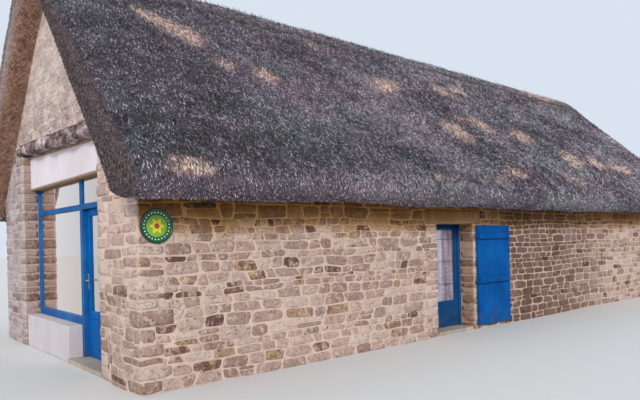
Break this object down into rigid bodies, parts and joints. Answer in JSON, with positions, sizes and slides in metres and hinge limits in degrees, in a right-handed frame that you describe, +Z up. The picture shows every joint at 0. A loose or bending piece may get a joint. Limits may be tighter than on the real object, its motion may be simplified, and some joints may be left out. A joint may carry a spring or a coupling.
{
  "type": "thatched stone cottage",
  "caption": "Long single-storey rubble-stone cottage with a steep thatched roof hipped at one end, a glazed gable with a door, a glazed front door and its shutter.",
  "frame": {"origin": "centre of the bounding box's underside, at ground level", "axes": "+X along the building from the glazed gable to the hipped end, +Y from the front wall to the rear wall, +Z up"},
  "size_m": [17.1608, 6.92, 5.64],
  "materials": {
    "rubble_stone": "rough rubble with pale mortar",
    "limewashed_stone": "rubble under worn limewash",
    "dressed_stone": "roughly dressed",
    "weathered_timber": "rough, weathered grey-brown",
    "render": "smooth cream-white render",
    "floor_stone": "honed",
    "thatch": "weathered reed",
    "ridge_thatch": "weathered reed with some moss",
    "roof_timber": "sawn, oiled",
    "blue_paint": "satin blue paint",
    "clear_glass": "clear",
    "handle_metal": "brushed",
    "dark_iron": "painted",
    "lace": "white lace",
    "plaque_enamel": "gloss enamel"
  },
  "bodies": {
    "cottage": {"gable_wall_front": "rubble_stone", "gable_wall_rear": "rubble_stone", "front_wall_left": "rubble_stone", "front_wall_right": "rubble_stone", "front_wall_over_door": "rubble_stone", "rear_wall": "rubble_stone", "end_wall": "rubble_stone", "gable_wall_top": "limewashed_stone", "front_door_lintel": "dressed_stone", "rear_window_lintel": "dressed_stone", "gable_beam": "weathered_timber", "gable_lintel_panel": "render", "gable_low_wall": "render", "floor": "floor_stone", "thatch_front": "thatch", "thatch_rear": "thatch", "thatch_end": "thatch", "thatch_ridge": "ridge_thatch", "ridge_beam": "roof_timber", "purlin_front": "roof_timber", "purlin_rear": "roof_timber", "truss_1": "roof_timber", "truss_2": "roof_timber", "truss_3": "roof_timber", "hip_rafter_front": "roof_timber", "hip_rafter_rear": "roof_timber", "gable_frame": "blue_paint", "front_door_frame": "blue_paint", "rear_window_frame": "blue_paint", "gable_window_glass": "clear_glass", "gable_window_top_light": "clear_glass", "gable_door_top_light": "clear_glass", "rear_window_glass": "clear_glass", "pintle_lower": "dark_iron", "pintle_upper": "dark_iron", "wall_plaque": "plaque_enamel"},
    "gable_door": {"gable_door_leaf": "blue_paint", "gable_door_glass": "clear_glass", "gable_door_handle": "handle_metal"},
    "front_door": {"front_door_leaf": "blue_paint", "front_door_glass": "clear_glass", "front_door_curtain": "lace", "front_door_handle": "handle_metal"},
    "door_shutter": {"shutter": "blue_paint"}
  },
  "joints": [
    {"name": "gable_door_hinge", "type": "hinge", "parent": "cottage", "child": "gable_door", "pos_m": [-7.8794, -1.606, 1.08], "axis": [0, 0, 1], "range_deg": [-90, 0]},
    {"name": "front_door_hinge", "type": "hinge", "parent": "cottage", "child": "front_door", "pos_m": [-2.2894, -2.439, 0.91], "axis": [0, 0, 1], "range_deg": [-90, 0]},
    {"name": "shutter_hinge", "type": "hinge", "parent": "cottage", "child": "door_shutter", "pos_m": [-2.2144, -2.845, 1.22], "axis": [0, 0, 1], "range_deg": [-180, 0]}
  ]
}
